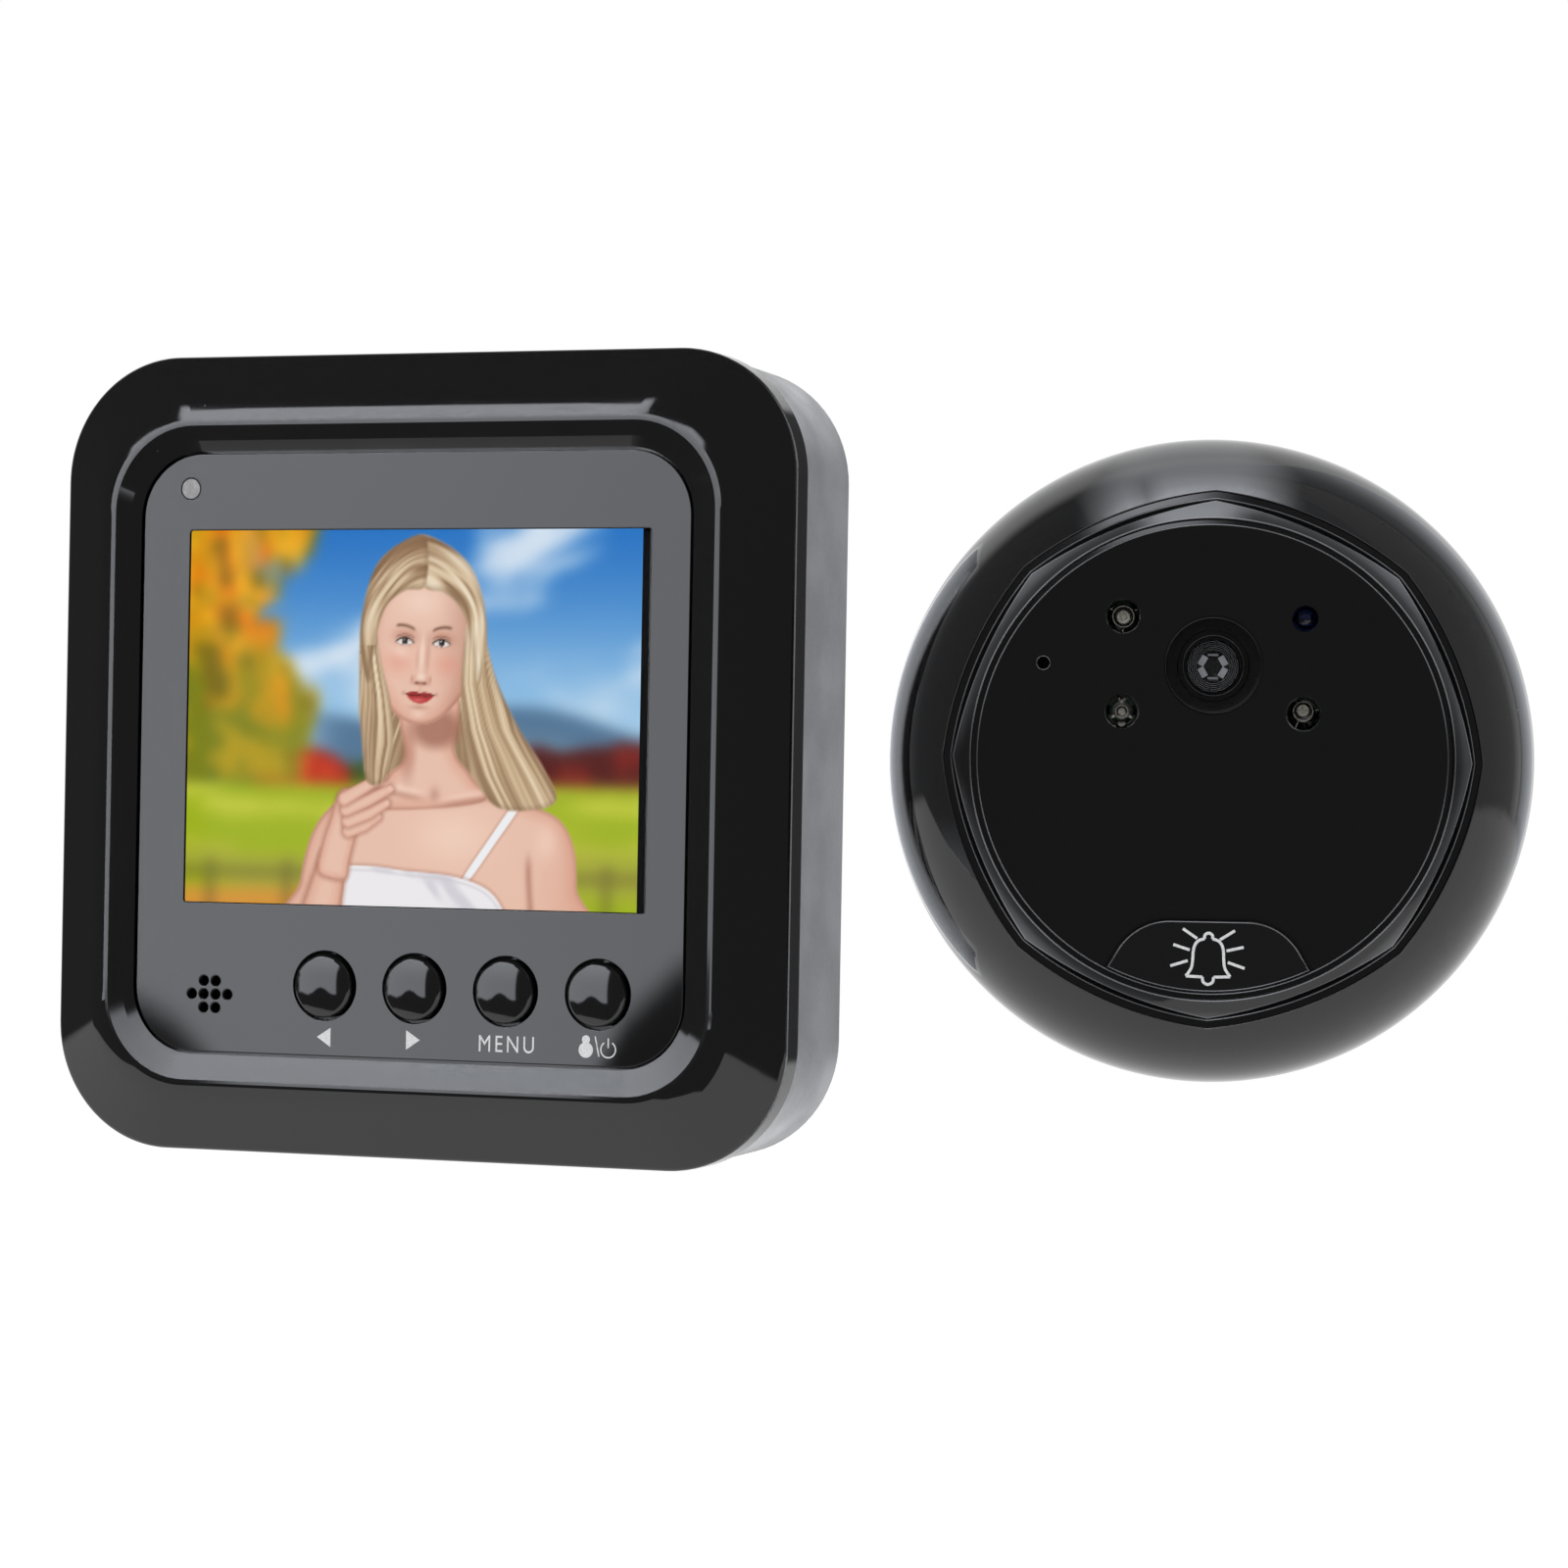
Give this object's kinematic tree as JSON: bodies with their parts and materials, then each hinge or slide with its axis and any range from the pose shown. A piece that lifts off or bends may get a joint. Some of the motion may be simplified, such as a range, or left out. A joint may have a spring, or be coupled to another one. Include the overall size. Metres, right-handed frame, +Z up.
{
  "type": "peephole door camera",
  "caption": "Door viewer in two units: a square indoor screen with push buttons on a wall bracket, and a round domed outdoor camera with a bell button.",
  "frame": {"origin": "axis of the door hole at the wall bracket's door face", "axes": "+Z up, +Y into the door, so the screen and the lens face toward -Y; +X to the right as the screen is viewed"},
  "size_m": [0.1501, 0.0314, 0.0799],
  "materials": {
    "gloss_shell": "piano-black moulded plastic",
    "gloss_key": "gloss black moulded keys",
    "front_window": "acrylic window printed black behind",
    "matte_shell": "fine-textured black plastic",
    "clear_plastic": "clear moulded plastic",
    "optical_glass": "coated glass",
    "blue_plastic": "blue tinted plastic",
    "screen_glass": "liquid crystal display glass",
    "steel": "plated steel",
    "bracket_steel": "pressed zinc-plated steel",
    "circuit_board": "green board",
    "switch_plastic": "black plastic",
    "socket_plastic": "ivory plastic",
    "chip": "small electronic chip",
    "black_metal": "black anodised",
    "cell_sleeve": "plain shrink sleeve",
    "spring_bronze": "nickel-plated spring bronze",
    "brass": "machined brass",
    "foam": "closed-cell foam"
  },
  "bodies": {
    "door_side": {"wall_bracket": "bracket_steel", "outer_ring": "gloss_shell", "crown_tray": "gloss_shell", "outdoor_panel": "front_window", "lens_ring": "black_metal", "lens_barrel": "black_metal", "lens_glass": "optical_glass", "lens_holder": "switch_plastic", "image_sensor": "chip", "night_lamps": "clear_plastic", "light_sensor": "blue_plastic", "outdoor_microphone": "steel", "bell_switch": "switch_plastic", "camera_board": "circuit_board", "camera_board_screws": "steel", "outdoor_socket": "socket_plastic", "rear_cover": "matte_shell", "screw_inserts": "brass", "cover_screws": "steel", "door_seal": "foam"},
    "monitor": {"front_bezel": "gloss_shell", "window_panel": "front_window", "indicator_pipe": "clear_plastic", "indicator_led": "chip", "lcd_glass": "screen_glass", "lcd_frame": "steel", "main_board": "circuit_board", "cable_socket": "socket_plastic", "monitor_microphone": "steel", "speaker": "switch_plastic", "rear_case": "matte_shell", "board_screws": "steel", "case_screws": "steel", "batteries": "cell_sleeve", "battery_contacts": "spring_bronze", "button_switches": "switch_plastic"},
    "battery_lid": {"battery_door": "matte_shell"},
    "bell_key": {"bell_button": "gloss_key", "bell_plunger": "switch_plastic"},
    "left_key": {"left_button": "gloss_key", "left_plunger": "switch_plastic"},
    "right_key": {"right_button": "gloss_key", "right_plunger": "switch_plastic"},
    "menu_key": {"menu_button": "gloss_key", "menu_plunger": "switch_plastic"},
    "power_key": {"power_button": "gloss_key", "power_plunger": "switch_plastic"}
  },
  "joints": [
    {"name": "monitor_lift", "type": "slide", "parent": "door_side", "child": "monitor", "axis": [0, 0, 1], "range_m": [0, 0.006]},
    {"name": "battery_door_slide", "type": "slide", "parent": "monitor", "child": "battery_lid", "axis": [0, 0, -1], "range_m": [0, 0.0023]},
    {"name": "left_press", "type": "slide", "parent": "monitor", "child": "left_key", "axis": [0, 1, 0], "range_m": [0, 0.00035], "stiffness_N_per_m": 400},
    {"name": "right_press", "type": "slide", "parent": "monitor", "child": "right_key", "axis": [0, 1, 0], "range_m": [0, 0.00035], "stiffness_N_per_m": 400},
    {"name": "menu_press", "type": "slide", "parent": "monitor", "child": "menu_key", "axis": [0, 1, 0], "range_m": [0, 0.00035], "stiffness_N_per_m": 400},
    {"name": "power_press", "type": "slide", "parent": "monitor", "child": "power_key", "axis": [0, 1, 0], "range_m": [0, 0.00035], "stiffness_N_per_m": 400},
    {"name": "bell_press", "type": "slide", "parent": "door_side", "child": "bell_key", "axis": [-0.304, 0.9527, 0], "range_m": [0, 0.0005], "stiffness_N_per_m": 400}
  ]
}
